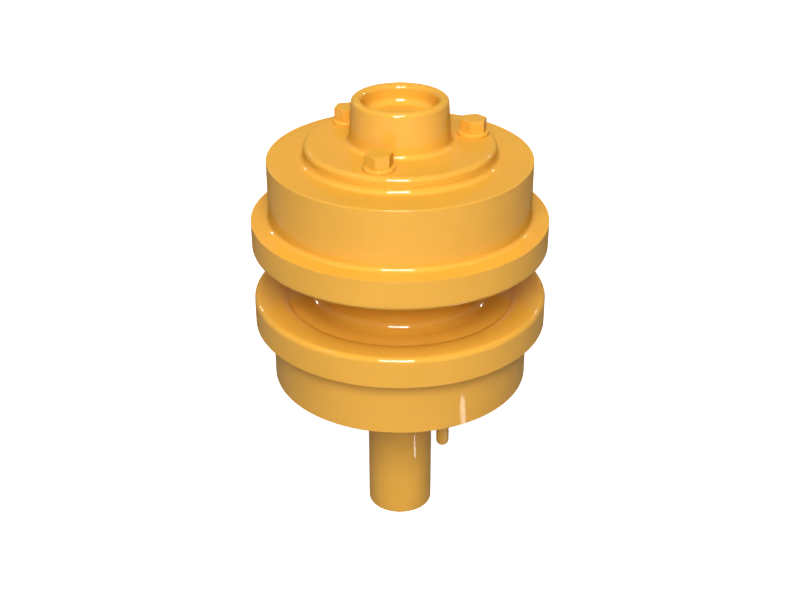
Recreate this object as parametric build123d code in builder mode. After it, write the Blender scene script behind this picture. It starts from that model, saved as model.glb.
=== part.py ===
from build123d import *
import math
import os

# Double-flanged carrier roller of a tracked machine. Millimetres.
# +Z runs along the roller's axis, from the clamped shaft end to the cover.
# Z = 0 is the free end face of the shaft.

# Clearances
press_gap = 0.02
thread_gap = 0.05
seal_film = 0.05
rolling_gap = 0.12
cage_gap = 0.25

# Edges that are only broken
edge_break = 0.8
fine_break = 0.35

# Roller shell, outside
shell_z = 129.2
tread_r = 100.0
tread_width = 47.6
tread_fillet = 5.3
flange_height = 13.5
flange_thick = 23.8
flange_round = 4.0

# Groove between the flanges
groove_width = 38.4
flange_land = 15.5
groove_slope_run = 11.2
groove_floor_depth = 4.3
waist_r = 63.7
waist_fillet = 7.9

# Roller shell, inside
waist_wall = 13.7
cavity_round = 6.0
cup_shoulder = 8.0
cup_shoulder_step = 4.0

# Cover seat on the shell
pad_r = 72.4
pad_height = 4.4
pad_fillet = 4.0
spigot_r = 47.5
spigot_length = 9.8
spigot_wall = 8.0
spigot_gap = 0.1
spigot_end_gap = 2.2

# End cover
pad_ledge = 0.3
cover_thick = 7.5
cover_round = 3.6
boss_top_r = 36.0
boss_flare = 2.0
boss_height = 33.85
boss_fillet = 4.0
boss_wall = 10.0
boss_floor_thick = 10.0
boss_inner_round = 5.0
lip_width = 7.7
lip_round = 3.4
mouth_round = 4.2
recess_depth = 14.7
recess_draft = 1.1
recess_fillet = 5.5

# Cover bolts and washers
bolt_count = 3
bolt_first_angle = 15.0
bolt_circle_r = 57.0
bolt_r = 6.0
bolt_length = 30.0
bolt_tip_chamfer = 1.2
bolt_head_flats = 18.0
bolt_head_height = 9.3
washer_r = 12.1
washer_thick = 3.0
washer_round = 1.0
clearance_hole_r = 6.75
tapped_hole_spare = 5.5

# Fill plug
plug_hole_r = 8.3
plug_sunk = 0.5
plug_socket_flats = 8.0
plug_socket_depth = 6.0

# Shaft
journal_r = 26.0
collar_seat_step = 0.5
shoulder_z = 151.0
shoulder_height = 5.0
shoulder_width = 7.0
shaft_waist_r = 24.0
seat_overrun = 1.8
thread_tail = 4.75
shaft_end_break = 1.0
centre_hole_r = 3.2
centre_hole_mouth_r = 6.0
centre_hole_depth = 12.0
centre_hole_angle = 60
keyway_width = 6.2
keyway_depth = 3.2

# Tapered roller bearings
cup_angle = 15.64
roller_half_angle = 1.8
seat_spacing = 82.25
high_rib_share = 0.7
low_rib_share = 0.28
cage_thick = 1.0
cage_rim = 2.0
cage_lift_share = 0.45
inner_bearing = dict(
    bore=50.0,
    outside=90.0,
    cone_width=20.0,
    cup_width=17.0,
    width=21.75,
    cup_bore=75.08,
    roller_start=4.3,
    roller_length=13.2,
    roller_count=20,
)
outer_bearing = dict(
    bore=45.0,
    outside=85.0,
    cone_width=19.0,
    cup_width=16.0,
    width=20.75,
    cup_bore=70.44,
    roller_start=4.1,
    roller_length=12.4,
    roller_count=19,
)

# Lock washer and lock nut
lock_washer_thick = 1.5
lock_washer_r = 28.5
lock_tab_reach = 6.0
lock_tab_width = 5.0
lock_tab_count = 13
lock_tab_bend = 4.5
nut_r = 32.5
nut_thick = 11.0
nut_slot_count = 4
nut_slot_width = 6.0
nut_slot_depth = 2.8
nut_chamfer = 1.0

# Face seal
seal_z = 141.5
seal_ring_in_r = 37.5
seal_ring_out_r = 47.5
seal_ring_height = 14.6
seal_band = 2.0
seal_relief = 0.6
seal_flange_thick = 3.6
seal_ramp_step = 3.5
seal_ramp_fall = 1.6
seal_ramp_length = 7.2
seal_ramp_angle = 13.0
seal_heel_r = 43.6
toric_r = 4.5
seal_seat_depth = 16.0

# Seal collar and dowel pin
collar_r = 60.0
collar_face_z = 106.0
collar_hub_r = 33.0
collar_break = 2.0
collar_lap = 10.8
collar_side_gap = 3.5
collar_end_gap = 3.0
pin_r = 5.0
pin_circle_r = 48.2
pin_angle = -45.0
pin_out = 31.0
pin_in = 12.0
pin_seat_step = 0.3
pin_round = 4.6

# O-rings
cover_ring_width = 2.5
collar_ring_width = 2.3
ring_groove_play = 0.8
collar_ring_inset = 14.0

# Places and sizes that follow from those above
half_length = tread_width + flange_thick + groove_width / 2
mid_z = shell_z + half_length
joint_z = mid_z + half_length + pad_height
cover_r = pad_r - pad_ledge
cover_top_z = joint_z + cover_thick
lip_z = cover_top_z + boss_height
recess_floor_z = lip_z - recess_depth
boss_floor_z = recess_floor_z - boss_floor_thick
boss_base_r = boss_top_r + boss_flare
recess_mouth_r = boss_top_r - lip_width
spigot_seat_r = spigot_r + spigot_gap
spigot_end_z = joint_z - spigot_length
spigot_seat_z = spigot_end_z - spigot_end_gap
cover_ring_z = joint_z - spigot_length / 2
head_seat_z = cover_top_z + washer_thick
tapped_hole_depth = bolt_length - washer_thick - cover_thick + tapped_hole_spare
flange_r = tread_r + flange_height
flange_face_r = flange_r - flange_land
crease_r = flange_face_r - groove_slope_run
cavity_r = waist_r - waist_wall
inner_back_z = shoulder_z + shoulder_width
inner_seat_z = inner_back_z + inner_bearing["width"]
outer_seat_z = inner_seat_z + seat_spacing
outer_back_z = outer_seat_z + outer_bearing["width"]
inner_cup_r = inner_bearing["outside"] / 2
outer_cup_r = outer_bearing["outside"] / 2
inner_journal_r = inner_bearing["bore"] / 2
outer_journal_r = outer_bearing["bore"] / 2
thread_r = outer_journal_r - thread_gap
nut_z = outer_back_z + lock_washer_thick
shaft_length = nut_z + nut_thick + thread_tail
collar_seat_r = journal_r + collar_seat_step
collar_bore_r = collar_seat_r + press_gap
collar_rim_z = shell_z + collar_lap
end_recess_r = collar_r + collar_side_gap
end_recess_z = collar_rim_z + collar_end_gap
collar_ring_z = collar_face_z + collar_ring_inset
pin_seat_r = pin_r + pin_seat_step
pin_x = pin_circle_r * math.cos(math.radians(pin_angle))
pin_y = pin_circle_r * math.sin(math.radians(pin_angle))

os.makedirs("parts", exist_ok=True)


def section_at(z, up=True):
    """Plane through the axis: x points outwards and y along the axis, up or down from z."""
    return Plane(origin=(0, 0, z), x_dir=(1, 0, 0), z_dir=(0, -1 if up else 1, 0))


def ring_plane(z, up=True):
    """Plane across the axis at z, facing up or down."""
    return Plane(origin=(0, 0, z), x_dir=(1, 0, 0), z_dir=(0, 0, 1 if up else -1))


def round_corner(section, r, y, radius):
    """Round the corner of a section that lies nearest to (r, y)."""
    fillet(section.vertices().sort_by_distance((r, y, 0))[0], radius)


def cut_bore(r, low, high):
    """Take a bore of radius r, from low to high, out of a section that reaches the axis."""
    Polygon((0, low), (r, low), (r, high), (0, high), mode=Mode.SUBTRACT)


def seal_point(along, across):
    """Point beside a seal ring's ramp, as radius and distance from the seal face."""
    tilt = math.radians(seal_ramp_angle)
    r = seal_ring_out_r - seal_ramp_step - along * math.sin(tilt) + across * math.cos(tilt)
    depth = seal_flange_thick + seal_ramp_fall + along * math.cos(tilt) + across * math.sin(tilt)
    return r, depth


def seal_seat_r(depth):
    """Radius of the sloping wall that holds the toric ring, at a distance from the seal face."""
    wall_r, wall_depth = seal_point(0, 2 * (toric_r + press_gap))
    return wall_r - (depth - wall_depth) * math.tan(math.radians(seal_ramp_angle))


# Roller shell: one forging with two treads, two flanges and the groove between them
with BuildPart() as roller_shell:
    with BuildSketch(section_at(mid_z)) as section:
        groove_y = groove_width / 2
        floor_y = groove_y + groove_floor_depth
        back_y = groove_y + flange_thick
        with BuildLine():
            Polyline((crease_r, floor_y), (waist_r, floor_y), (waist_r, 0), (0, 0), (0, half_length))
            Polyline((0, half_length), (tread_r, half_length), (tread_r, back_y), (flange_r, back_y))
            Polyline((flange_r, back_y), (flange_r, groove_y), (flange_face_r, groove_y))
            TangentArc((flange_face_r, groove_y), (crease_r, floor_y), tangent=(-1, 0))
        make_face()
        round_corner(section, waist_r, floor_y, waist_fillet)
        round_corner(section, flange_r, groove_y, flange_round)
        round_corner(section, flange_r, back_y, edge_break)
        round_corner(section, tread_r, back_y, tread_fillet)
        round_corner(section, tread_r, half_length, edge_break)
        mirror(about=Plane.XZ)
        Polygon((0, half_length), (pad_r, half_length), (pad_r, joint_z - mid_z), (0, joint_z - mid_z))
        round_corner(section, pad_r, half_length, pad_fillet)
        round_corner(section, pad_r, joint_z - mid_z, fine_break)
        seat_floor_z = seal_z + seal_seat_depth
        cut_bore(end_recess_r, shell_z - mid_z, end_recess_z - mid_z)
        Polygon(
            (0, end_recess_z - mid_z),
            (seal_seat_r(end_recess_z - seal_z), end_recess_z - mid_z),
            (seal_seat_r(seal_seat_depth), seat_floor_z - mid_z),
            (0, seat_floor_z - mid_z),
            mode=Mode.SUBTRACT,
        )
        cut_bore(inner_cup_r, seat_floor_z - mid_z, inner_seat_z - mid_z)
        cut_bore(inner_cup_r - cup_shoulder_step, inner_seat_z - mid_z, mid_z - mid_z)
        cut_bore(outer_cup_r - cup_shoulder_step, mid_z - mid_z, outer_seat_z - mid_z)
        cavity_low = inner_seat_z + cup_shoulder - mid_z
        cavity_high = outer_seat_z - cup_shoulder - mid_z
        cut_bore(cavity_r, cavity_low, cavity_high)
        cut_bore(outer_cup_r, outer_seat_z - mid_z, spigot_seat_z - mid_z)
        cut_bore(spigot_seat_r, spigot_seat_z - mid_z, joint_z - mid_z)
        round_corner(section, cavity_r, cavity_low, cavity_round)
        round_corner(section, cavity_r, cavity_high, cavity_round)
    revolve(axis=Axis.Z)
    with Locations(ring_plane(joint_z)):
        with PolarLocations(bolt_circle_r, bolt_count, bolt_first_angle):
            Hole(bolt_r + thread_gap, tapped_hole_depth)
roller_shell.part.label = "roller_shell"
export_step(roller_shell.part, "parts/roller_shell.step")


# End cover: plate, spigot and hollow boss with a dished end
with BuildPart() as end_cover:
    with BuildSketch(section_at(joint_z)) as section:
        recess_foot_r = recess_mouth_r - recess_draft
        lip_y = lip_z - joint_z
        Polygon(
            (0, -spigot_length),
            (spigot_r, -spigot_length),
            (spigot_r, 0),
            (cover_r, 0),
            (cover_r, cover_thick),
            (boss_base_r, cover_thick),
            (boss_top_r, lip_y),
            (recess_mouth_r, lip_y),
            (recess_foot_r, lip_y - recess_depth),
            (0, lip_y - recess_depth),
        )
        round_corner(section, spigot_r, -spigot_length, edge_break)
        round_corner(section, cover_r, 0, fine_break)
        round_corner(section, cover_r, cover_thick, cover_round)
        round_corner(section, boss_base_r, cover_thick, boss_fillet)
        round_corner(section, boss_top_r, lip_y, lip_round)
        round_corner(section, recess_mouth_r, lip_y, mouth_round)
        round_corner(section, recess_foot_r, lip_y - recess_depth, recess_fillet)
        boss_cavity_r = boss_top_r - boss_wall
        cut_bore(spigot_r - spigot_wall, -spigot_length, 0)
        cut_bore(boss_cavity_r, 0, boss_floor_z - joint_z)
        cut_bore(plug_hole_r, boss_floor_z - joint_z, recess_floor_z - joint_z)
        round_corner(section, boss_cavity_r, boss_floor_z - joint_z, boss_inner_round)
        ring_half = (cover_ring_width + ring_groove_play) / 2
        groove_floor_r = spigot_seat_r - cover_ring_width
        ring_y = cover_ring_z - joint_z
        Polygon(
            (groove_floor_r, ring_y - ring_half),
            (spigot_seat_r, ring_y - ring_half),
            (spigot_seat_r, ring_y + ring_half),
            (groove_floor_r, ring_y + ring_half),
            mode=Mode.SUBTRACT,
        )
    revolve(axis=Axis.Z)
    with Locations(ring_plane(cover_top_z)):
        with PolarLocations(bolt_circle_r, bolt_count, bolt_first_angle):
            Hole(clearance_hole_r, cover_thick)
end_cover.part.label = "end_cover"
export_step(end_cover.part, "parts/end_cover.step")


# O-ring of the cover's spigot
with BuildPart() as cover_o_ring:
    with BuildSketch(section_at(cover_ring_z)):
        with Locations((spigot_seat_r - cover_ring_width / 2, 0)):
            Circle(cover_ring_width / 2 - press_gap)
    revolve(axis=Axis.Z)
cover_o_ring.part.label = "cover_o_ring"
export_step(cover_o_ring.part, "parts/cover_o_ring.step")


# Cover bolts: hexagon heads with a corner pointing outwards
with BuildPart() as bolt:
    with BuildSketch(Plane.XY):
        RegularPolygon(bolt_head_flats / 2, 6, major_radius=False)
    extrude(amount=bolt_head_height)
    chamfer(bolt.edges().group_by(Axis.Z)[-1], fine_break)
    with BuildSketch(section_at(0, up=False)):
        Polygon(
            (0, 0),
            (bolt_r, 0),
            (bolt_r, bolt_length - bolt_tip_chamfer),
            (bolt_r - bolt_tip_chamfer, bolt_length),
            (0, bolt_length),
        )
    revolve(axis=Axis.Z)

with BuildPart(ring_plane(head_seat_z)) as cover_bolts:
    with PolarLocations(bolt_circle_r, bolt_count, bolt_first_angle):
        add(bolt.part)
cover_bolts.part.label = "cover_bolts"
export_step(cover_bolts.part, "parts/cover_bolts.step")


# Washers under the bolt heads
with BuildPart() as washer:
    with BuildSketch(section_at(0)) as section:
        Polygon(
            (clearance_hole_r, 0),
            (washer_r, 0),
            (washer_r, washer_thick),
            (clearance_hole_r, washer_thick),
        )
        round_corner(section, washer_r, washer_thick, washer_round)
    revolve(axis=Axis.Z)

with BuildPart(ring_plane(cover_top_z)) as cover_washers:
    with PolarLocations(bolt_circle_r, bolt_count, bolt_first_angle):
        add(washer.part)
cover_washers.part.label = "cover_washers"
export_step(cover_washers.part, "parts/cover_washers.step")


# Fill plug with a hexagon socket, in the floor of the boss
with BuildPart() as fill_plug:
    plug_top_z = recess_floor_z - plug_sunk
    with BuildSketch(ring_plane(boss_floor_z)):
        Circle(plug_hole_r - thread_gap)
    extrude(amount=plug_top_z - boss_floor_z)
    chamfer(fill_plug.edges().group_by(Axis.Z)[-1], fine_break)
    with BuildSketch(ring_plane(plug_top_z)):
        RegularPolygon(plug_socket_flats / 2, 6, major_radius=False)
    extrude(amount=-plug_socket_depth, mode=Mode.SUBTRACT)
fill_plug.part.label = "fill_plug"
export_step(fill_plug.part, "parts/fill_plug.step")


# Shaft: clamped journal, collar seat, shoulder, two bearing journals and the nut's thread
with BuildPart() as roller_shaft:
    shoulder_r = journal_r + shoulder_height
    inner_journal_end = inner_back_z + inner_bearing["cone_width"] + seat_overrun
    outer_journal_start = outer_back_z - outer_bearing["cone_width"] - seat_overrun
    with BuildSketch(section_at(0)) as section:
        Polygon(
            (0, 0),
            (journal_r, 0),
            (journal_r, collar_face_z),
            (collar_seat_r, collar_face_z),
            (collar_seat_r, shoulder_z),
            (shoulder_r, shoulder_z),
            (shoulder_r, inner_back_z),
            (inner_journal_r, inner_back_z),
            (inner_journal_r, inner_journal_end),
            (shaft_waist_r, inner_journal_end),
            (shaft_waist_r, outer_journal_start),
            (outer_journal_r, outer_journal_start),
            (outer_journal_r, outer_back_z),
            (thread_r, outer_back_z),
            (thread_r, shaft_length),
            (0, shaft_length),
        )
        chamfer(section.vertices().sort_by_distance((journal_r, 0, 0))[0], shaft_end_break)
        chamfer(section.vertices().sort_by_distance((thread_r, shaft_length, 0))[0], shaft_end_break)
        round_corner(section, shoulder_r, inner_back_z, edge_break)
    revolve(axis=Axis.Z)
    for end_plane in (ring_plane(0, up=False), ring_plane(shaft_length)):
        with Locations(end_plane):
            CounterSinkHole(centre_hole_r, centre_hole_mouth_r, centre_hole_depth, centre_hole_angle)
    keyway_floor_r = thread_r - keyway_depth
    with BuildSketch(ring_plane(outer_back_z - lock_washer_thick)):
        with Locations((keyway_floor_r, 0)):
            Rectangle(journal_r, keyway_width, align=(Align.MIN, Align.CENTER))
    extrude(until=Until.LAST, mode=Mode.SUBTRACT)
roller_shaft.part.label = "roller_shaft"
export_step(roller_shaft.part, "parts/roller_shaft.step")


def make_bearing(name, back_z, up, bore, outside, cone_width, cup_width, width, cup_bore,
                 roller_start, roller_length, roller_count):
    """Tapered roller bearing in four pieces. Heights y run from the cone's back face."""
    tilt = math.radians(cup_angle - roller_half_angle)
    apex_y = width + cup_bore / 2 / math.tan(math.radians(cup_angle))
    roller_end = roller_start + roller_length * math.cos(tilt)

    def taper_r(angle, y):
        """Radius at y of the cone with this half-angle round the bearing's axis."""
        return (apex_y - y) * math.tan(math.radians(angle))

    def roller_r(y):
        """Radius of a roller where its axis passes the height y."""
        return (apex_y - y) / math.cos(tilt) * math.tan(math.radians(roller_half_angle)) - rolling_gap

    def race_point(y, shift, height):
        """Point above the cone's raceway on a roller's end plane, moved by shift along the axis."""
        foot_y = y - roller_r(y) * math.sin(tilt) + shift
        foot_r = taper_r(cup_angle - 2 * roller_half_angle, foot_y)
        return foot_r + height * math.cos(tilt), foot_y + height * math.sin(tilt)

    def place_rollers(spare, mode):
        """Place the rollers in the current part, larger by spare when they cut a cage's windows."""
        start_y = roller_start - spare * math.cos(tilt)
        start_r = taper_r(cup_angle - roller_half_angle, start_y)
        with Locations((0, 0, start_y)):
            with PolarLocations(start_r, roller_count):
                Cone(
                    roller_r(roller_start) + spare,
                    roller_r(roller_end) + spare,
                    roller_length + 2 * spare,
                    rotation=(0, roller_half_angle - cup_angle, 0),
                    align=(Align.CENTER, Align.CENTER, Align.MIN),
                    mode=mode,
                )

    # Cone, the inner ring: raceway between a high rib and a low rib
    with BuildPart() as cone:
        cone_bore_r = bore / 2 + press_gap
        high_rib = race_point(roller_start, -rolling_gap, high_rib_share * roller_r(roller_start))
        low_rib = race_point(roller_end, rolling_gap, low_rib_share * roller_r(roller_end))
        with BuildSketch(section_at(back_z, up)) as section:
            Polygon(
                (cone_bore_r, 0),
                (high_rib[0], 0),
                high_rib,
                race_point(roller_start, -rolling_gap, 0),
                race_point(roller_end, rolling_gap, 0),
                low_rib,
                (low_rib[0], cone_width),
                (cone_bore_r, cone_width),
            )
            round_corner(section, cone_bore_r, 0, edge_break)
            round_corner(section, high_rib[0], 0, edge_break)
        revolve(axis=Axis.Z)
    cone.part.label = f"{name}_bearing_cone"
    export_step(cone.part, f"parts/{name}_bearing_cone.step")

    # Cup, the outer ring
    with BuildPart() as cup:
        front = width - cup_width
        cup_r = outside / 2 - press_gap
        with BuildSketch(section_at(back_z, up)) as section:
            Polygon(
                (taper_r(cup_angle, front), front),
                (cup_r, front),
                (cup_r, width),
                (cup_bore / 2, width),
            )
            round_corner(section, cup_r, front, edge_break)
            round_corner(section, cup_r, width, edge_break)
        revolve(axis=Axis.Z)
    cup.part.label = f"{name}_bearing_cup"
    export_step(cup.part, f"parts/{name}_bearing_cup.step")

    # Tapered rollers
    with BuildPart(ring_plane(back_z, up)) as rollers:
        place_rollers(0, Mode.ADD)
    rollers.part.label = f"{name}_bearing_rollers"
    export_step(rollers.part, f"parts/{name}_bearing_rollers.step")

    # Cage: pressed band with a window for each roller and a flange at the small end
    with BuildPart(ring_plane(back_z, up)) as cage:
        axis_angle = cup_angle - roller_half_angle
        lift = cage_lift_share * roller_r(roller_end)
        band = cage_thick / math.cos(tilt)
        start = roller_start - cage_rim
        end = roller_end + cage_rim + cage_gap
        start_r = taper_r(axis_angle, start) + lift
        end_r = taper_r(axis_angle, end) + lift
        with BuildSketch(section_at(back_z, up)):
            Polygon(
                (start_r, start),
                (start_r + band, start),
                (end_r + band, end),
                (end_r - 2 * lift, end),
                (end_r - 2 * lift, end - cage_thick),
                (end_r, end - cage_thick),
            )
        revolve(axis=Axis.Z)
        place_rollers(cage_gap, Mode.SUBTRACT)
    cage.part.label = f"{name}_bearing_cage"
    export_step(cage.part, f"parts/{name}_bearing_cage.step")


make_bearing("inner", inner_back_z, True, **inner_bearing)
make_bearing("outer", outer_back_z, False, **outer_bearing)


# Lock washer: one inner tab in the shaft's keyway, one outer tab bent up into the nut's slot
with BuildPart() as lock_washer:
    tab_pitch = 360 / lock_tab_count
    tab_r = lock_washer_r + lock_tab_reach
    inner_tab_r = keyway_floor_r + press_gap
    bend_r = nut_r - nut_slot_depth + press_gap
    with BuildSketch(ring_plane(outer_back_z)):
        Circle(lock_washer_r)
        with PolarLocations(0, lock_tab_count - 1, tab_pitch, 360 - tab_pitch, endpoint=False):
            Rectangle(tab_r, lock_tab_width, align=(Align.MIN, Align.CENTER))
        Rectangle(bend_r + lock_washer_thick, lock_tab_width, align=(Align.MIN, Align.CENTER))
        Circle(thread_r + thread_gap, mode=Mode.SUBTRACT)
        with Locations((inner_tab_r, 0)):
            Rectangle(lock_washer_r - inner_tab_r, lock_tab_width, align=(Align.MIN, Align.CENTER))
    extrude(amount=lock_washer_thick)
    with BuildSketch(ring_plane(nut_z)):
        with Locations((bend_r, 0)):
            Rectangle(lock_washer_thick, lock_tab_width, align=(Align.MIN, Align.CENTER))
    extrude(amount=lock_tab_bend)
lock_washer.part.label = "lock_washer"
export_step(lock_washer.part, "parts/lock_washer.step")


# Lock nut with four slots for a hook spanner
with BuildPart() as lock_nut:
    with BuildSketch(ring_plane(nut_z)):
        Circle(nut_r)
        Circle(thread_r + thread_gap, mode=Mode.SUBTRACT)
    extrude(amount=nut_thick)
    chamfer(lock_nut.edges().filter_by(GeomType.CIRCLE).sort_by(SortBy.RADIUS)[-2:], nut_chamfer)
    with BuildSketch(ring_plane(nut_z)):
        with PolarLocations(nut_r - nut_slot_depth, nut_slot_count):
            Rectangle(2 * nut_slot_depth, nut_slot_width, align=(Align.MIN, Align.CENTER))
    extrude(amount=nut_thick, mode=Mode.SUBTRACT)
lock_nut.part.label = "lock_nut"
export_step(lock_nut.part, "parts/lock_nut.step")


# Seal collar: fixed to the shaft, its rim laps into the shell's end
with BuildPart() as seal_collar:
    with BuildSketch(section_at(collar_face_z)) as section:
        rim_y = collar_rim_z - collar_face_z
        floor_y = seal_z - seal_seat_depth - collar_face_z
        ring_y = collar_ring_z - collar_face_z
        ring_half = (collar_ring_width + ring_groove_play) / 2
        Polygon(
            (collar_bore_r, 0),
            (collar_r, 0),
            (collar_r, rim_y),
            (seal_seat_r(seal_z - collar_rim_z), rim_y),
            (seal_seat_r(seal_seat_depth), floor_y),
            (collar_hub_r, floor_y),
            (collar_hub_r, shoulder_z - collar_face_z),
            (collar_bore_r, shoulder_z - collar_face_z),
        )
        round_corner(section, collar_r, 0, collar_break)
        round_corner(section, collar_r, rim_y, edge_break)
        Polygon(
            (collar_seat_r, ring_y - ring_half),
            (collar_seat_r + collar_ring_width, ring_y - ring_half),
            (collar_seat_r + collar_ring_width, ring_y + ring_half),
            (collar_seat_r, ring_y + ring_half),
            mode=Mode.SUBTRACT,
        )
    revolve(axis=Axis.Z)
    with Locations(ring_plane(collar_face_z, up=False)):
        with Locations((pin_x, -pin_y)):
            Hole(pin_seat_r + press_gap, pin_in)
seal_collar.part.label = "seal_collar"
export_step(seal_collar.part, "parts/seal_collar.step")


# O-ring between the collar and the shaft
with BuildPart() as collar_o_ring:
    with BuildSketch(section_at(collar_ring_z)):
        with Locations((collar_seat_r + collar_ring_width / 2, 0)):
            Circle(collar_ring_width / 2 - press_gap)
    revolve(axis=Axis.Z)
collar_o_ring.part.label = "collar_o_ring"
export_step(collar_o_ring.part, "parts/collar_o_ring.step")


# Dowel pin pressed into the collar, round at its free end
with BuildPart() as dowel_pin:
    with BuildSketch(ring_plane(collar_face_z - pin_out)):
        with Locations((pin_x, pin_y)):
            Circle(pin_r)
    extrude(amount=pin_out)
    fillet(dowel_pin.edges().group_by(Axis.Z)[0], pin_round)
    with BuildSketch(ring_plane(collar_face_z)):
        with Locations((pin_x, pin_y)):
            Circle(pin_seat_r)
    extrude(amount=pin_in)
dowel_pin.part.label = "dowel_pin"
export_step(dowel_pin.part, "parts/dowel_pin.step")


# Face seal: two alike metal rings, each held by a rubber toric ring
for side, up in (("rotating", True), ("stationary", False)):
    face_z = seal_z + seal_film / 2 if up else seal_z - seal_film / 2
    with BuildPart() as seal_ring:
        with BuildSketch(section_at(face_z, up)) as section:
            heel_y = seal_ring_height - seal_relief
            Polygon(
                (seal_ring_in_r, seal_relief),
                (seal_ring_out_r - seal_band, 0),
                (seal_ring_out_r, 0),
                (seal_ring_out_r, seal_flange_thick),
                seal_point(0, 0),
                seal_point(seal_ramp_length, 0),
                (seal_heel_r, heel_y),
                (seal_heel_r, seal_ring_height),
                (seal_ring_in_r, seal_ring_height),
            )
            round_corner(section, seal_ring_in_r, seal_ring_height, edge_break)
        revolve(axis=Axis.Z)
    seal_ring.part.label = f"{side}_seal_ring"
    export_step(seal_ring.part, f"parts/{side}_seal_ring.step")

    with BuildPart() as toric_ring:
        with BuildSketch(section_at(face_z, up)):
            with Locations(seal_point(seal_ramp_length / 2, toric_r + press_gap)):
                Circle(toric_r - press_gap)
        revolve(axis=Axis.Z)
    toric_ring.part.label = f"{side}_toric_ring"
    export_step(toric_ring.part, f"parts/{side}_toric_ring.step")
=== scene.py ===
import math

import bmesh
import bpy
from mathutils import Matrix, Vector


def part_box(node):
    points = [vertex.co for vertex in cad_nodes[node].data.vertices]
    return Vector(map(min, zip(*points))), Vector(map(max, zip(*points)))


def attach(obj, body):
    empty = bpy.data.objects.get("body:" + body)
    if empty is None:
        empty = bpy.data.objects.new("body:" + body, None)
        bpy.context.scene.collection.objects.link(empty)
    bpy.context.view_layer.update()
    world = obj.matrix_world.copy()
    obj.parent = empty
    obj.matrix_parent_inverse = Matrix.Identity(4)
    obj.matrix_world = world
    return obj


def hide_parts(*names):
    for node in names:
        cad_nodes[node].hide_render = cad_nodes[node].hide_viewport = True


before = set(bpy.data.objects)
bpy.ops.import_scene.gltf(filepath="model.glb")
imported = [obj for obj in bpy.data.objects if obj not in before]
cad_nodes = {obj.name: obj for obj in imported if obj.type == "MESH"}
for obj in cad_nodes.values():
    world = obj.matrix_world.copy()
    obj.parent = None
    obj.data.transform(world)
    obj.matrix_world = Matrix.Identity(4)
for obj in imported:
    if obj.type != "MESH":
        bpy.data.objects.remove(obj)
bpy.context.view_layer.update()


# Camera
# It stands in front of the roller and looks down at the middle of its lower flange,
# from the photograph's height, distance and angle of view.
look_at = Vector((0, 0, 0.1882))
camera_distance = 1.0508
camera_pitch = math.radians(28.137)
camera_lens = 59.89

camera_data = bpy.data.cameras.new("camera")
camera_data.lens = camera_lens
camera = bpy.data.objects.new("camera", camera_data)
bpy.context.scene.collection.objects.link(camera)
camera.location = look_at + camera_distance * Vector((0, -math.cos(camera_pitch), math.sin(camera_pitch)))
camera.rotation_euler = (math.pi / 2 - camera_pitch, 0, 0)
bpy.context.scene.camera = camera


# Shaft
# A forged steel bar, turned and ground where the collar and the bearings sit, threaded for the lock nut,
# with a keyway for the lock washer. Its bare end was painted with the rest of the roller.
class Shade:
    """A socket in a node tree. Arithmetic on it adds Math nodes."""

    def __init__(self, tree, socket):
        self.tree = tree
        self.socket = socket

    def node(self, kind, settings, inputs, output=0):
        """Add a node. Its settings come first, then the values or links of its sockets."""
        made = self.tree.nodes.new(kind)
        for name, value in settings.items():
            setattr(made, name, value)
        for name, value in inputs.items():
            if isinstance(value, Shade):
                self.tree.links.new(value.socket, made.inputs[name])
            else:
                made.inputs[name].default_value = value
        return Shade(self.tree, made.outputs[output])

    def math(self, operation, first, second=0.0):
        return self.node("ShaderNodeMath", {"operation": operation}, {0: first, 1: second})

    def __add__(self, other):
        return self.math("ADD", self, other)

    def __radd__(self, other):
        return self.math("ADD", other, self)

    def __sub__(self, other):
        return self.math("SUBTRACT", self, other)

    def __rsub__(self, other):
        return self.math("SUBTRACT", other, self)

    def __mul__(self, other):
        return self.math("MULTIPLY", self, other)

    def __rmul__(self, other):
        return self.math("MULTIPLY", other, self)

    def between(self, low, high):
        """0 below low, 1 above high, and a smooth step from one to the other."""
        smooth_step = {"interpolation_type": "SMOOTHSTEP"}
        return self.node("ShaderNodeMapRange", smooth_step, {0: self, 1: low, 2: high})


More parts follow.
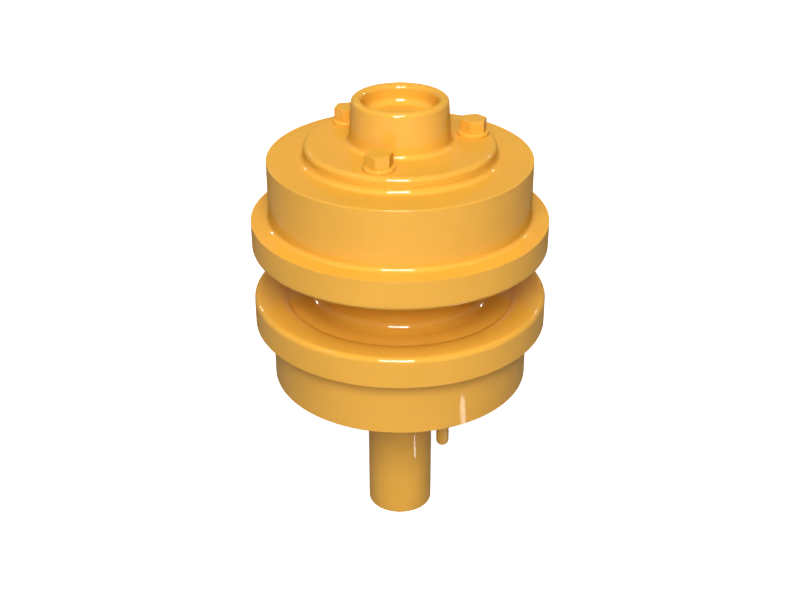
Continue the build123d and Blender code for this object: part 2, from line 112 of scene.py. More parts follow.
class Finish:
    """A material whose surface is worked out from places on the object."""

    def __init__(self, name):
        self.material = bpy.data.materials.new(name)
        self.material.use_nodes = True
        self.tree = self.material.node_tree
        self.surface = self.tree.nodes["Principled BSDF"]
        self.start = Shade(self.tree, None)
        self.place = self.start.node("ShaderNodeTexCoord", {}, {}, "Object")
        self.x = self.start.node("ShaderNodeSeparateXYZ", {}, {0: self.place}, "X")
        self.y = Shade(self.tree, self.x.socket.node.outputs["Y"])
        self.height = Shade(self.tree, self.x.socket.node.outputs["Z"])
        self.radius = self.start.math("SQRT", self.x * self.x + self.y * self.y)

    def noise(self, scale, detail=2.0, place=None):
        """Cloudy pattern from 0 to 1. Its scale is in cells a metre."""
        inputs = {"Vector": place or self.place, "Scale": scale, "Detail": detail}
        return self.start.node("ShaderNodeTexNoise", {}, inputs, "Fac")

    def turning_lines(self, per_metre):
        """Fine rings left by the lathe: they change along the radius and the height only."""
        rings = self.start.node("ShaderNodeCombineXYZ", {}, {0: self.radius, 2: self.height})
        return self.noise(per_metre, 3.0, rings)

    def blend(self, share, first, second):
        """Mix of two colours. A Mix node takes them at its sockets 6 and 7 and gives the result at 2."""
        inputs = {0: share, 6: (*first, 1.0), 7: (*second, 1.0)}
        return self.start.node("ShaderNodeMix", {"data_type": "RGBA"}, inputs, 2)

    def set(self, **values):
        """Set sockets of the surface shader, as base_color=... for Base Color."""
        for name, value in values.items():
            socket = self.surface.inputs[name.replace("_", " ").title().replace("Ior", "IOR")]
            if isinstance(value, Shade):
                self.tree.links.new(value.socket, socket)
            elif isinstance(value, tuple):
                socket.default_value = (*value, 1.0)
            else:
                socket.default_value = value

    def bump(self, relief, depth):
        """Raise the surface by the relief times a depth in metres."""
        inputs = {"Strength": 1.0, "Distance": depth, "Height": relief}
        normal = self.start.node("ShaderNodeBump", {}, inputs, "Normal")
        self.tree.links.new(normal.socket, self.surface.inputs["Normal"])


def enamel():
    """Glossy yellow machine enamel, sprayed on: a little uneven in tone, with faint orange peel."""
    paint = Finish("yellow_enamel")
    cloud = paint.noise(14.0, 3.0)
    speck = paint.noise(900.0, 1.0)
    grazing = paint.start.node("ShaderNodeLayerWeight", {}, {"Blend": 0.5}, "Facing")
    paint.set(
        base_color=paint.blend(cloud.between(0.3, 0.7), (0.77, 0.385, 0.043), (0.81, 0.405, 0.047)),
        roughness=0.42 + 0.05 * cloud + 0.03 * speck,
        specular_ior_level=0.0,
        coat_weight=0.42 * (1 - grazing),
        coat_roughness=0.055,
    )
    peel = paint.noise(520.0, 1.5) + 0.35 * paint.noise(1500.0, 1.0)
    paint.bump(peel, 0.000008)
    return paint.material


def ground_steel():
    """Ground and oiled steel, bright, with the fine rings of the grinding wheel."""
    steel = Finish("ground_steel")
    rings = steel.turning_lines(2600.0)
    steel.set(
        base_color=steel.blend(rings, (0.50, 0.50, 0.51), (0.66, 0.66, 0.67)),
        metallic=1.0,
        roughness=0.16 + 0.16 * rings,
    )
    steel.bump(rings, 0.000006)
    return steel.material


def outline(*corners, ring=False):
    """Points (radius, height) through the corners. A corner's third value is its rounding."""
    guard = 0.0001
    finest_step = 0.0005
    points = []
    count = len(corners)
    for index, corner in enumerate(corners):
        here = Vector(corner[:2])
        rounding = corner[2] if len(corner) == 3 else 0
        if not rounding:
            points.append(here)
            continue
        arrive = (here - Vector(corners[index - 1][:2])).normalized()
        leave = (Vector(corners[(index + 1) % count][:2]) - here).normalized()
        turn = math.atan2(arrive.cross(leave), arrive.dot(leave))
        reach = rounding * abs(math.tan(turn / 2))
        side = math.copysign(1, turn)
        centre = here - arrive * reach + Vector((-arrive.y, arrive.x)) * side * rounding
        spoke = here - arrive * reach - centre
        start = math.atan2(spoke.y, spoke.x)
        steps = max(4, min(14, round(abs(turn) * rounding / finest_step)))
        points.append(here - arrive * (reach + guard))
        for step in range(steps + 1):
            angle = start + turn * step / steps
            points.append(centre + rounding * Vector((math.cos(angle), math.sin(angle))))
        points.append(here + leave * (reach + guard))
    if ring:
        points.append(points[0])
    return points


def thread(crest, root, start, end, pitch):
    """Rows of a right-hand screw thread, crest and root by turns, closed at both ends."""
    low, high = sorted((start, end))
    along = math.copysign(pitch / 2, end - start)
    foot = start - pitch if end > start else start
    for index in range(2 * math.ceil((high - low) / pitch) + 3):
        def row(angle, place=foot + along * index, radius=root if index % 2 else crest):
            height = round(place + pitch * angle / (2 * math.pi), 9)
            return (radius, height) if low < height < high else (crest, min(high, max(low, height)))
        yield row


def soften(mesh):
    """Shade a mesh smooth, and keep an edge crisp where its faces meet at a clear angle."""
    crisp_angle = math.radians(32)
    mesh.shade_smooth()
    mesh.set_sharp_from_angle(angle=crisp_angle)


def link(name, mesh):
    """Put a finished mesh into the scene as a piece."""
    soften(mesh)
    piece = bpy.data.objects.new(name, mesh)
    bpy.context.scene.collection.objects.link(piece)
    return piece


def turned(name, rows, materials, pick=None, sides=192, angles=None):
    """Closed solid round the axis. A row is a point (radius, height), or a function that gives one at an
    angle. pick gives the number of a face's material from its radius and height."""
    angles = angles or [2 * math.pi * side / sides for side in range(sides + 1)]
    build = bmesh.new()
    before = None
    for row in rows:
        line = []
        for angle in angles:
            radius, height = row(angle) if callable(row) else row
            line.append(build.verts.new((radius * math.cos(angle), radius * math.sin(angle), height)))
        if before:
            for corners in zip(before, before[1:], line[1:], line):
                build.faces.new(corners)
        before = line
    bmesh.ops.remove_doubles(build, verts=build.verts, dist=1e-7)
    bmesh.ops.recalc_face_normals(build, faces=build.faces)
    if pick:
        for face in build.faces:
            centre = face.calc_center_median()
            face.material_index = pick(math.hypot(centre.x, centre.y), centre.z)
    mesh = bpy.data.meshes.new(name)
    build.to_mesh(mesh)
    build.free()
    for material in materials:
        mesh.materials.append(material)
    return link(name, mesh)


def bake_modifiers(piece):
    """Turn a piece with its modifiers into a plain mesh."""
    evaluated = piece.evaluated_get(bpy.context.evaluated_depsgraph_get())
    mesh = bpy.data.meshes.new_from_object(evaluated)
    piece.modifiers.clear()
    piece.data = mesh
    soften(mesh)


def cut(piece, *tools):
    """Take the tools out of a piece. Their faces' material stays on the cut."""
    for tool in tools:
        modifier = piece.modifiers.new(tool.name, "BOOLEAN")
        modifier.operation = "DIFFERENCE"
        modifier.solver = "EXACT"
        modifier.object = tool
    bake_modifiers(piece)
    for tool in tools:
        bpy.data.objects.remove(tool)


yellow_enamel = enamel()
bearing_finish = ground_steel()

journal_radius = 0.026
collar_seat_radius = 0.0265
shoulder_low, shoulder_high, shoulder_radius = 0.151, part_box("inner_bearing_cone")[0].z, 0.031
seat_overrun = 0.0018
inner_seat_radius, inner_seat_end = 0.025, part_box("inner_bearing_cone")[1].z + seat_overrun
waist_radius = 0.024
outer_seat_radius, outer_seat_end = 0.0225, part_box("outer_bearing_cone")[1].z
outer_seat_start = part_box("outer_bearing_cone")[0].z - seat_overrun
nut_thread_pitch, nut_thread_depth, nut_thread_chamfer = 0.0015, 0.0009, 0.001
collar_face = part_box("seal_collar")[0].z
shaft_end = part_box("roller_shaft")[1].z
centre_mouth, centre_radius, centre_depth = 0.006, 0.0032, 0.012
countersink = (centre_mouth - centre_radius) * math.sqrt(3)
keyway_width, keyway_floor, keyway_runout = 0.0062, 0.01925, 0.0015
cut_overrun = 0.001

shaft = turned(
    "shaft",
    [
        *outline(
            (0, centre_depth),
            (centre_radius, centre_depth),
            (centre_radius, countersink),
            (centre_mouth, 0),
            (journal_radius, 0, 0.0010),
            (journal_radius, collar_face),
            (collar_seat_radius, collar_face, 0.0002),
            (collar_seat_radius, shoulder_low),
            (shoulder_radius, shoulder_low, 0.0004),
            (shoulder_radius, shoulder_high, 0.0008),
            (inner_seat_radius, shoulder_high),
            (inner_seat_radius, inner_seat_end, 0.0003),
            (waist_radius, inner_seat_end),
            (waist_radius, outer_seat_start, 0.0003),
            (outer_seat_radius, outer_seat_start),
            (outer_seat_radius, outer_seat_end),
        ),
        *thread(
            outer_seat_radius,
            outer_seat_radius - nut_thread_depth,
            outer_seat_end,
            shaft_end - nut_thread_chamfer,
            nut_thread_pitch,
        ),
        (outer_seat_radius - nut_thread_chamfer, shaft_end),
        (centre_mouth, shaft_end),
        (centre_radius, shaft_end - countersink),
        (centre_radius, shaft_end - centre_depth),
        (0, shaft_end - centre_depth),
    ],
    (yellow_enamel, bearing_finish),
    lambda radius, height: int(height > collar_face or radius < centre_mouth),
    sides=128,
)
keyway_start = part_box("lock_washer")[0].z - keyway_runout
keyway = bmesh.new()
bmesh.ops.create_cube(keyway, size=1)
keyway_length = shaft_end + cut_overrun - keyway_start
bmesh.ops.scale(keyway, verts=keyway.verts, vec=(journal_radius, keyway_width, keyway_length))
keyway_place = (keyway_floor + journal_radius / 2, 0, keyway_start + keyway_length / 2)
bmesh.ops.translate(keyway, verts=keyway.verts, vec=keyway_place)
for face in keyway.faces:
    face.material_index = 1
keyway_mesh = bpy.data.meshes.new("keyway")
keyway.to_mesh(keyway_mesh)
keyway_mesh.materials.append(yellow_enamel)
keyway_mesh.materials.append(bearing_finish)
cut(shaft, link("keyway", keyway_mesh))
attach(shaft, "shaft_assembly")
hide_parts("roller_shaft")


# Seal collar and dowel pin
# The collar is a turned ring, pressed on the shaft against its shoulder, with a rim that laps into the shell.
# The pin is pressed into the collar's face and keeps the shaft from turning in its bracket.
def drill(place, radius, low, high, sides=48):
    """Upright drill as a tool for cut, whose walls are left bare steel."""
    rows = ((0, low), (radius, low), (radius, high), (0, high))
    tool = turned("drill", rows, (yellow_enamel, bearing_finish), lambda radius, height: 1, sides)
    tool.data.transform(Matrix.Translation((place[0], place[1], 0)))
    return tool


seal_face = 0.1415
seat_depth = 0.016
seat_radius_at_face, seat_slope = 0.054478, math.tan(math.radians(13))


def seat_radius(depth):
    """Radius of a seal seat's sloping wall, at a distance from the seal's face."""
    return seat_radius_at_face - depth * seat_slope


collar_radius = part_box("seal_collar")[1].x
collar_rim = 0.140
collar_hub_radius = 0.033
collar_bare_radius, collar_bare_height = 0.058, collar_face + 0.0005
collar_ring_low, collar_ring_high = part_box("collar_o_ring")[0].z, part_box("collar_o_ring")[1].z
collar_groove_play, collar_groove_radius = 0.0004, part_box("collar_o_ring")[1].x
collar = turned(
    "collar",
    outline(
        (collar_seat_radius, collar_face, 0.0005),
        (collar_radius, collar_face, 0.0020),
        (collar_radius, collar_rim, 0.0008),
        (seat_radius(seal_face - collar_rim), collar_rim, 0.0005),
        (seat_radius(seat_depth), seal_face - seat_depth, 0.0012),
        (collar_hub_radius, seal_face - seat_depth, 0.0010),
        (collar_hub_radius, shoulder_low, 0.0006),
        (collar_seat_radius, shoulder_low),
        (collar_seat_radius, collar_ring_high + collar_groove_play),
        (collar_groove_radius, collar_ring_high + collar_groove_play),
        (collar_groove_radius, collar_ring_low - collar_groove_play),
        (collar_seat_radius, collar_ring_low - collar_groove_play),
        ring=True,
    ),
    (yellow_enamel, bearing_finish),
    lambda radius, height: int(radius < collar_bare_radius and height > collar_bare_height),
)
pin_low, pin_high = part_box("dowel_pin")
pin_place = ((pin_low.x + pin_high.x) / 2, (pin_low.y + pin_high.y) / 2, 0)
pin_seat_radius = (pin_high.x - pin_low.x) / 2
pin_step, pin_dome_round = 0.0003, 0.0046
pin_radius = pin_seat_radius - pin_step
cut(collar, drill(pin_place, pin_seat_radius, collar_face - cut_overrun, pin_high.z))
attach(collar, "shaft_assembly")
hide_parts("seal_collar")

pin = turned(
    "dowel_pin",
    outline(
        (0, pin_low.z),
        (pin_radius, pin_low.z, pin_dome_round),
        (pin_radius, collar_face),
        (pin_seat_radius, collar_face),
        (pin_seat_radius, pin_high.z, 0.0006),
        (0, pin_high.z),
    ),
    (yellow_enamel, bearing_finish),
    lambda radius, height: int(height > collar_face),
    sides=64,
)
pin.data.transform(Matrix.Translation(pin_place))
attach(pin, "shaft_assembly")
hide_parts("dowel_pin")


# Face seal and its rubber rings
# Two chilled iron rings run on each other's lapped bands. A rubber toric ring presses and centres each,
# one in the collar and one in the shell, and a small O-ring seals the collar on the shaft.
def chilled_iron():
    """Dark cast iron, turned all over, with a polished band where the two rings meet."""
    band_start, band_full = 0.0454, 0.0457
    face_near, face_far = 0.0002, 0.0006
    iron = Finish("chilled_iron")
    rings = iron.turning_lines(1900.0)
    near_face = 1 - iron.start.math("ABSOLUTE", iron.height - seal_face).between(face_near, face_far)
    band = near_face * iron.radius.between(band_start, band_full)
    iron.set(
        base_color=iron.blend(band, (0.20, 0.20, 0.21), (0.62, 0.62, 0.63)),
        metallic=1.0,
        roughness=0.42 + 0.14 * rings - 0.36 * band,
    )
    iron.bump(rings * (1 - band), 0.00001)
    return iron.material


def nitrile():
    """Moulded black rubber, a little dusty, with a faint grain."""
    rubber = Finish("nitrile")
    dust = rubber.noise(240.0, 4.0)
    grain = rubber.noise(4200.0, 1.0)
    rubber.set(
        base_color=rubber.blend(dust.between(0.35, 0.75), (0.012, 0.012, 0.013), (0.030, 0.029, 0.028)),
        roughness=0.52 + 0.16 * dust,
    )
    rubber.bump(grain, 0.000012)
    return rubber.material


def dress(finish, *names):
    """Give CAD nodes that stay in the model this finish."""
    for name in names:
        for holder in cad_nodes[name].material_slots:
            holder.material = finish


dress(chilled_iron(), "stationary_seal_ring", "rotating_seal_ring")
dress(nitrile(), "stationary_toric_ring", "rotating_toric_ring", "collar_o_ring", "cover_o_ring")


# Roller shell
# One steel forging, turned all over: two treads, two flanges and the deep groove between them. Its bores
# hold the face seal, the two bearing cups and the cover's spigot, and its end is tapped for the bolts.
shell_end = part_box("roller_shell")[0].z
cover_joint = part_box("roller_shell")[1].z
tread_radius, tread_round = 0.100, 0.0034
flange_radius, flange_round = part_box("roller_shell")[1].x, 0.004
pad_radius, pad_height, pad_round = 0.0724, 0.0044, 0.0038
middle = (shell_end + cover_joint - pad_height) / 2
half_length = cover_joint - pad_height - middle
groove_face, flange_back, flange_draft = 0.0192, 0.0430, 0.0014
crease_radius, crease_depth = 0.0868, 0.0043
slope_radius = 0.098
shell_waist_radius, shell_waist_round = 0.0637, 0.0079
edge_round, flange_edge_round = 0.0008, 0.0003
end_recess_radius, end_recess_floor = 0.0635, 0.143
inner_cup_radius, inner_cup_seat = 0.045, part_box("inner_bearing_cup")[1].z
outer_cup_radius, outer_cup_seat = 0.0425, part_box("outer_bearing_cup")[0].z
cup_shoulder, cup_shoulder_step = 0.008, 0.004
cavity_radius, cavity_round = 0.050, 0.006
spigot_seat_radius, spigot_seat = 0.0476, 0.3028
bolt_count, bolt_circle, bolt_first_angle = 3, 0.057, math.radians(15)
tapped_hole_radius, tapped_hole_depth = 0.00605, 0.025


def groove_slope(side):
    """Arc from the flange's flat face down to the sharp crease round the groove's floor."""
    steps = 10
    run = slope_radius - crease_radius
    bend = (run * run + crease_depth * crease_depth) / (2 * crease_depth)
    full = math.asin(run / bend)
    arc = []
    for step in range(steps + 1):
        angle = full * (1 - step / steps)
        depth = groove_face + bend * (1 - math.cos(angle))
        arc.append((slope_radius - bend * math.sin(angle), middle + side * depth))
    return arc if side > 0 else arc[::-1]


def shell_finish(radius, height):
    """Bare steel in the bores and on the seats, enamel outside."""
    skin = 0.001
    beyond_groove = abs(height - middle) > groove_face + crease_depth + skin
    in_end_recess = beyond_groove and radius < end_recess_radius - skin
    return int(in_end_recess or radius < shell_waist_radius - skin)


def bolt_places():
    """Where the cover's bolts stand."""
    for index in range(bolt_count):
        angle = bolt_first_angle + index * 2 * math.pi / bolt_count
        yield bolt_circle * math.cos(angle), bolt_circle * math.sin(angle)


shell = turned(
    "roller_shell",
    outline(
        (spigot_seat_radius, cover_joint, 0.0003),
        (spigot_seat_radius, spigot_seat),
        (outer_cup_radius, spigot_seat, 0.0005),
        (outer_cup_radius, outer_cup_seat),
        (outer_cup_radius - cup_shoulder_step, outer_cup_seat),
        (outer_cup_radius - cup_shoulder_step, outer_cup_seat - cup_shoulder),
        (cavity_radius, outer_cup_seat - cup_shoulder, cavity_round),
        (cavity_radius, inner_cup_seat + cup_shoulder, cavity_round),
        (inner_cup_radius - cup_shoulder_step, inner_cup_seat + cup_shoulder),
        (inner_cup_radius - cup_shoulder_step, inner_cup_seat),
        (inner_cup_radius, inner_cup_seat),
        (inner_cup_radius, seal_face + seat_depth, 0.0005),
        (seat_radius(seat_depth), seal_face + seat_depth, 0.0012),
        (seat_radius(end_recess_floor - seal_face), end_recess_floor, 0.0005),
        (end_recess_radius, end_recess_floor, 0.0005),
        (end_recess_radius, shell_end, 0.0006),
        (tread_radius, shell_end, edge_round),
        (tread_radius, middle - flange_back - flange_draft, tread_round),
        (flange_radius, middle - flange_back, flange_edge_round),
        (flange_radius, middle - groove_face, flange_round),
        *groove_slope(-1),
        (shell_waist_radius, middle - groove_face - crease_depth, shell_waist_round),
        (shell_waist_radius, middle + groove_face + crease_depth, shell_waist_round),
        *groove_slope(1),
        (flange_radius, middle + groove_face, flange_round),
        (flange_radius, middle + flange_back, flange_edge_round),
        (tread_radius, middle + flange_back + flange_draft, tread_round),
        (tread_radius, middle + half_length, edge_round),
        (pad_radius, middle + half_length, pad_round),
        (pad_radius, cover_joint, 0.0002),
        ring=True,
    ),
    (yellow_enamel, bearing_finish),
    shell_finish,
    sides=256,
)
cut(shell, *[drill(place, tapped_hole_radius, cover_joint - tapped_hole_depth, cover_joint + cut_overrun)
             for place in bolt_places()])
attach(shell, "roller_assembly")
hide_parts("roller_shell")


# Bearings
# Two tapered roller bearings, one against the shaft's shoulder and one under the lock nut.
# Rings and rollers are ground bearing steel, and the cages are pressed from sheet.
def pressed_sheet():
    """Sheet steel for the cages, dull and oily, with faint drawing marks."""
    sheet = Finish("pressed_sheet")
    marks = sheet.turning_lines(700.0)
    oil = sheet.noise(60.0, 3.0)
    sheet.set(
        base_color=sheet.blend(oil.between(0.3, 0.7), (0.30, 0.28, 0.24), (0.42, 0.40, 0.36)),
        metallic=1.0,
        roughness=0.34 + 0.18 * marks,
    )
    sheet.bump(marks, 0.00001)
    return sheet.material


dress(bearing_finish, "inner_bearing_cone", "inner_bearing_cup", "inner_bearing_rollers")
dress(bearing_finish, "outer_bearing_cone", "outer_bearing_cup", "outer_bearing_rollers")
dress(pressed_sheet(), "inner_bearing_cage", "outer_bearing_cage")


# Lock nut and lock washer
# The nut sets the bearings' play and has four slots for a hook spanner. One tab of the washer
# under it is bent up into a slot, and another lies in the shaft's keyway.
def oiled_steel():
    """Turned machine steel, blued a little by its heat treatment and wet with oil."""
    steel = Finish("oiled_steel")
    lines = steel.turning_lines(1200.0)
    stain = steel.noise(45.0, 4.0)
    steel.set(
        base_color=steel.blend(stain.between(0.35, 0.7), (0.20, 0.20, 0.22), (0.34, 0.33, 0.33)),
        metallic=1.0,
        roughness=0.24 + 0.2 * lines,
    )
    steel.bump(lines, 0.000012)
    return steel.material


dress(oiled_steel(), "lock_nut", "lock_washer")


# End cover
# A turned steel cap with a hollow boss, dished at its end; its spigot centres it in the shell.
# It was bolted on before painting, so the same coat runs over the joint.
cover_low, cover_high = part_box("end_cover")
cover_radius = cover_high.x
plate_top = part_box("cover_washers")[0].z
plate_round = 0.0036
boss_top_radius, boss_base_radius, boss_round = 0.036, 0.038, 0.004
lip_round, mouth_round = 0.0034, 0.0042
mouth_radius, recess_foot_radius, recess_round = 0.0283, 0.0272, 0.0055
recess_floor = cover_high.z - 0.0147
boss_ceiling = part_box("fill_plug")[0].z
boss_cavity_radius, boss_cavity_round = 0.026, 0.005
plug_hole_radius = 0.0083
spigot_radius, spigot_bore_radius = 0.0475, 0.0395
cover_ring_low, cover_ring_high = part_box("cover_o_ring")[0].z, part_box("cover_o_ring")[1].z
cover_groove_play, cover_groove_radius = 0.0004, 0.0451
clearance_hole_radius = 0.00675


def cover_finish(radius, height):
    """Bare steel on the spigot and in the boss's cavity, enamel outside."""
    skin, wall = 0.0001, 0.0005
    under_plate = height < cover_joint + skin and radius < cover_radius - wall
    in_boss = height < boss_ceiling + skin and radius < boss_cavity_radius + wall
    return int(under_plate or in_boss)


cover = turned(
    "end_cover",
    outline(
        (plug_hole_radius, boss_ceiling),
        (plug_hole_radius, recess_floor, 0.0006),
        (recess_foot_radius, recess_floor, recess_round),
        (mouth_radius, cover_high.z, mouth_round),
        (boss_top_radius, cover_high.z, lip_round),
        (boss_base_radius, plate_top, boss_round),
        (cover_radius, plate_top, plate_round),
        (cover_radius, cover_joint, 0.0004),
        (spigot_radius, cover_joint),
        (spigot_radius, cover_ring_high + cover_groove_play),
        (cover_groove_radius, cover_ring_high + cover_groove_play),
        (cover_groove_radius, cover_ring_low - cover_groove_play),
        (spigot_radius, cover_ring_low - cover_groove_play),
        (spigot_radius, cover_low.z, 0.0008),
        (spigot_bore_radius, cover_low.z),
        (spigot_bore_radius, cover_joint),
        (boss_cavity_radius, cover_joint),
        (boss_cavity_radius, boss_ceiling, boss_cavity_round),
        ring=True,
    ),
    (yellow_enamel, bearing_finish),
    cover_finish,
    sides=256,
)
cut(cover, *[drill(place, clearance_hole_radius, cover_joint - cut_overrun, plate_top + cut_overrun)
             for place in bolt_places()])
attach(cover, "roller_assembly")
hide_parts("end_cover")


# Washers and cover bolts
# Three hexagon bolts of 12 mm thread with hard washers hold the cover, a corner of each head outwards.
# They were tightened before the roller was painted, so they carry the same enamel.
def ring_tree():
    """Node tree that sets copies of its object's mesh round the roller's axis."""
    tree = bpy.data.node_groups.new("bolt_ring", "GeometryNodeTree")
    sizes = {
        "Count": "NodeSocketInt",
        "Circle Radius": "NodeSocketFloat",
        "First Angle": "NodeSocketFloat",
        "Height": "NodeSocketFloat",
        "Material": "NodeSocketMaterial",
    }
    tree.interface.new_socket("Geometry", in_out="INPUT", socket_type="NodeSocketGeometry")
    for label, kind in sizes.items():
        tree.interface.new_socket(label, in_out="INPUT", socket_type=kind)
    tree.interface.new_socket("Geometry", in_out="OUTPUT", socket_type="NodeSocketGeometry")
    source = tree.nodes.new("NodeGroupInput")
    given = {socket.name: Shade(tree, socket) for socket in source.outputs}
    start = Shade(tree, None)
    circle = {"Vertices": given["Count"], "Radius": given["Circle Radius"]}
    points = start.node("GeometryNodeMeshCircle", {}, circle)
    turn = start.node("ShaderNodeCombineXYZ", {}, {2: given["First Angle"]})
    rise = start.node("ShaderNodeCombineXYZ", {}, {2: given["Height"]})
    placed = {"Geometry": points, "Translation": rise, "Rotation": turn}
    points = start.node("GeometryNodeTransform", {}, placed)
    place = start.node("GeometryNodeInputPosition", {}, {})
    aim = {"axis": "X", "pivot_axis": "Z"}
    outwards = start.node("FunctionNodeAlignRotationToVector", aim, {"Vector": place})
    copies = {"Points": points, "Instance": given["Geometry"], "Rotation": outwards}
    ring = start.node("GeometryNodeInstanceOnPoints", {}, copies)
    ring = start.node("GeometryNodeRealizeInstances", {}, {"Geometry": ring})
    ring = start.node("GeometryNodeSetMaterial", {}, {"Geometry": ring, "Material": given["Material"]})
    result = tree.nodes.new("NodeGroupOutput")
    tree.links.new(ring.socket, result.inputs["Geometry"])
    return tree


def set_round(piece, tree, height):
    """Repeat a piece that stands at the origin at each bolt, on this height."""
    modifier = piece.modifiers.new("ring", "NODES")
    modifier.node_group = tree
    values = {
        "Count": bolt_count,
        "Circle Radius": bolt_circle,
        "First Angle": bolt_first_angle,
        "Height": height,
        "Material": yellow_enamel,
    }
    for item in tree.interface.items_tree:
        if item.in_out == "INPUT" and item.name in values:
            modifier[item.identifier] = values[item.name]
    bake_modifiers(piece)
    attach(piece, "roller_assembly")


def hexagon(angle, flats, rounding):
    """Radius of a hexagon with rounded corners at an angle. Its first corner lies at 0."""
    pitch = math.pi / 3
    from_corner = abs((angle + pitch / 2) % pitch - pitch / 2)
    centre = (flats / 2 - rounding) / math.cos(pitch / 2)
    touch = pitch / 2 - math.atan((flats / 2 - rounding) * math.tan(pitch / 2) / (flats / 2))
    if from_corner > touch:
        return flats / 2 / math.cos(pitch / 2 - from_corner)
    across = centre * math.sin(from_corner)
    return centre * math.cos(from_corner) + math.sqrt(rounding * rounding - across * across)


bolt_ring = ring_tree()
washer_radius, washer_round = 0.0121, 0.001
washer_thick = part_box("cover_washers")[1].z - plate_top
washers = turned(
    "cover_washers",
    outline(
        (clearance_hole_radius, 0, 0.0002),
        (washer_radius, 0, 0.0003),
        (washer_radius, washer_thick, washer_round),
        (clearance_hole_radius, washer_thick, 0.0002),
        ring=True,
    ),
    (yellow_enamel,),
    sides=96,
)
set_round(washers, bolt_ring, plate_top)
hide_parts("cover_washers")

head_flats, head_corner_round, head_top_round = 0.018, 0.0005, 0.0005
head_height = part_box("cover_bolts")[1].z - plate_top - washer_thick
shank_length = plate_top + washer_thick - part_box("cover_bolts")[0].z
thread_radius, thread_root, thread_pitch = 0.006, 0.0051, 0.00175
tip_chamfer = 0.0012


def head_rows():
    """Rows of a hexagon head, from the middle of its top to the shank under it."""
    def profile(angle):
        side = hexagon(angle, head_flats, head_corner_round)
        return outline((0, head_height), (side, head_height, head_top_round), (side, 0), (thread_radius, 0))

    for index in range(len(profile(0))):
        yield lambda angle, index=index: profile(angle)[index]


# Places of a head's points, as shares of the way from one corner to the next: close together at a corner.
corner_shares = (0, 0.012, 0.024, 0.08, 0.2, 0.35, 0.5, 0.65, 0.8, 0.92, 0.976, 0.988)
head_angles = [(corner + share) * math.pi / 3 for corner in range(6) for share in corner_shares]
bolts = turned(
    "cover_bolts",
    [
        *head_rows(),
        *thread(thread_radius, thread_root, 0, tip_chamfer - shank_length, thread_pitch),
        (thread_radius - tip_chamfer, -shank_length),
        (0, -shank_length),
    ],
    (yellow_enamel,),
    angles=[*head_angles, 2 * math.pi],
)
set_round(bolts, bolt_ring, plate_top + washer_thick)
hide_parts("cover_bolts")


# Fill plug
# A short threaded plug with a hexagon socket closes the oil hole in the floor of the boss's recess.
# It sits just under the floor and was painted over.
plug_low, plug_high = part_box("fill_plug")
plug_radius = (plug_high.x - plug_low.x) / 2
plug_thread_pitch, plug_thread_depth = 0.0014, 0.0008
plug_thread_start, plug_chamfer = plug_high.z - 0.0012, 0.001
plug_bare_radius, plug_bare_height = plug_radius - 0.0012, plug_high.z - 0.001
socket_flats, socket_depth, socket_point, socket_corner_round = 0.008, 0.006, 0.0012, 0.0003
# Softened edges as pairs: how far below the plug's top, and how far out from the socket or in from the rim.
socket_edge = ((0.0004, 0), (0.0001, 0.0001), (0, 0.0004))
rim_edge = ((0, 0.0006), (0.0001, 0.0003), (0.0004, 0))


def socket_row(height, spread):
    """Row round the hexagon socket, wider than it by spread."""
    return lambda angle: (hexagon(angle, socket_flats, socket_corner_round) + spread, height)


plug = turned(
    "fill_plug",
    [
        (0, plug_high.z - socket_depth - socket_point),
        socket_row(plug_high.z - socket_depth, 0),
        *[socket_row(plug_high.z - down, out) for down, out in socket_edge],
        *[(plug_radius - inwards, plug_high.z - down) for down, inwards in rim_edge],
        *thread(
            plug_radius,
            plug_radius - plug_thread_depth,
            plug_thread_start,
            plug_low.z + plug_chamfer,
            plug_thread_pitch,
        ),
        (plug_radius - plug_chamfer, plug_low.z),
        (0, plug_low.z),
    ],
    (yellow_enamel, bearing_finish),
    lambda radius, height: int(radius > plug_bare_radius and height < plug_bare_height),
    angles=[*head_angles, 2 * math.pi],
)
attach(plug, "roller_assembly")
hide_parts("fill_plug")


# Floor, light and world
# A pale floor under the shaft's end in a white room. Soft boxes, which the paint doesn't mirror, give
# the even light. Lamps that are seen only in the paint give the short highlights, and two of them, strips
# on the floor, give the upright streaks on the lower tread and the shaft.
floor_reach = 4.0
floor_shade, floor_bounce = 0.8, 0.22
floor_glow, glow_near, glow_far = 0.85, 0.5, 2.2
room_light = 0.01

floor_mesh = bpy.data.meshes.new("floor")
floor_corners = [(-1, -1), (1, -1), (1, 1), (-1, 1)]
floor_mesh.from_pydata([(x * floor_reach, y * floor_reach, 0) for x, y in floor_corners], [], [(0, 1, 2, 3)])
floor = bpy.data.objects.new("floor", floor_mesh)
bpy.context.scene.collection.objects.link(floor)


def seen_white(start):
    """1 for rays from the camera, in reflections and through glass, 0 for light on the object."""
    path = start.node("ShaderNodeLightPath", {}, {}, "Is Camera Ray")
    shown = path
    for ray in ("Is Glossy Ray", "Is Transmission Ray"):
        shown = shown + Shade(start.tree, path.socket.node.outputs[ray])
    return shown


floor_finish = Finish("pale_floor")
white_share = seen_white(floor_finish.start)
glow = floor_glow + (1 - floor_glow) * floor_finish.radius.between(glow_near, glow_far)
floor_finish.set(
    base_color=floor_finish.blend(white_share, (floor_bounce,) * 3, (floor_shade,) * 3),
    roughness=0.9,
    specular_ior_level=0.0,
    emission_color=white_share * glow,
    emission_strength=1.0,
)
floor_mesh.materials.append(floor_finish.material)

world = bpy.data.worlds.new("room")
world.use_nodes = True
bpy.context.scene.world = world
room = Shade(world.node_tree, None)
background = world.node_tree.nodes["Background"]
background.inputs["Color"].default_value = (1, 1, 1, 1)
room_strength = room_light + (1 - room_light) * seen_white(room)
world.node_tree.links.new(room_strength.socket, background.inputs["Strength"])


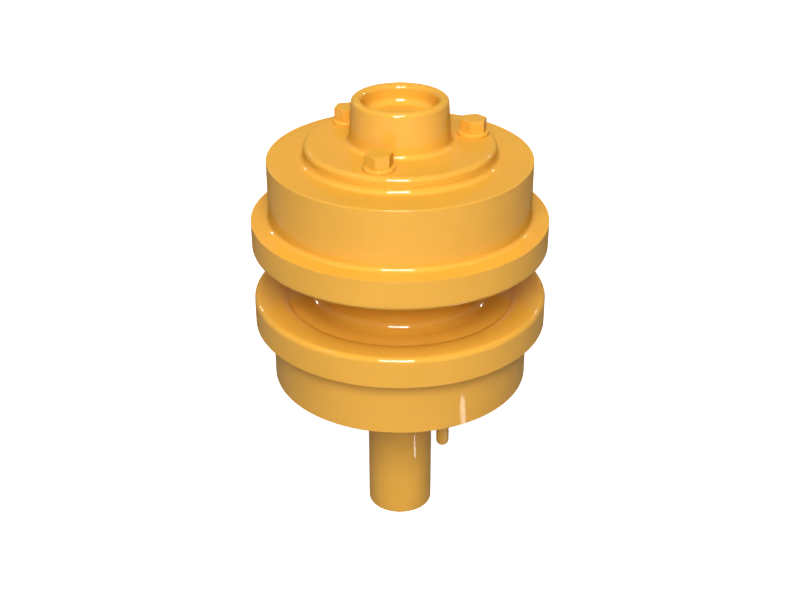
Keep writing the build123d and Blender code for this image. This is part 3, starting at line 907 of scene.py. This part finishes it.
def soft_box(name, azimuth, elevation, distance, width, height, power, mirrored=False):
    """Area light that faces the middle of the roller. A mirrored one is seen only in the paint's gloss."""
    data = bpy.data.lights.new(name, "AREA")
    data.shape = "RECTANGLE"
    data.size = width
    data.size_y = height
    data.energy = power
    lamp = bpy.data.objects.new(name, data)
    lamp.visible_camera = False
    lamp.visible_glossy = mirrored
    lamp.visible_diffuse = not mirrored
    bpy.context.scene.collection.objects.link(lamp)
    turn, rise = math.radians(azimuth), math.radians(elevation)
    away = Vector((math.cos(turn) * math.cos(rise), math.sin(turn) * math.cos(rise), math.sin(rise)))
    lamp.location = look_at + distance * away
    lamp.rotation_euler = away.to_track_quat("Z", "Y").to_euler()
    return lamp


# Name, azimuth and elevation in degrees, distance, width and height in metres, and watts. The key's glint
# stands nearer than the key, because lamps in one plane hide each other in the gloss.
soft_box("key", -92, 39, 3.0, 1.5, 1.3, 89)
soft_box("top", -90, 74, 3.0, 1.3, 0.8, 28)
soft_box("low", -92, 4, 3.0, 1.3, 0.3, 10)
soft_box("right", -45, 25, 3.0, 1.3, 0.8, 2)
soft_box("back_left", 128, 25, 3.0, 0.8, 0.8, 9)
soft_box("back_right", 50, 28, 3.0, 0.8, 0.8, 9)
soft_box("behind", 90, 4, 3.0, 1.0, 0.6, 40)
soft_box("key_glint", -92, 40, 2.8, 1.08, 1.2, 250, True)
soft_box("left_glint", -170, 57, 3.0, 0.3, 0.3, 10, True)
soft_box("back_left_glint", 130, 25, 3.0, 0.2, 0.2, 20, True)
soft_box("back_right_glint", 48, 28, 3.0, 0.2, 0.2, 20, True)

# Name, distance of the strip's middle from the axis, length and width in metres, and watts.
strip_turn, strip_height = math.radians(-40.5), 0.002
strips = (("tread_strip", 0.2345, 0.193, 0.022, 0.24), ("shaft_strip", 0.114, 0.034, 0.010, 0.032))
for name, reach, length, width, power in strips:
    strip = soft_box(name, 0, 0, 1.0, length, width, power, True)
    strip.location = (reach * math.cos(strip_turn), reach * math.sin(strip_turn), strip_height)
    strip.rotation_euler = (math.pi, 0, strip_turn)

bpy.context.scene.view_settings.view_transform = "Standard"
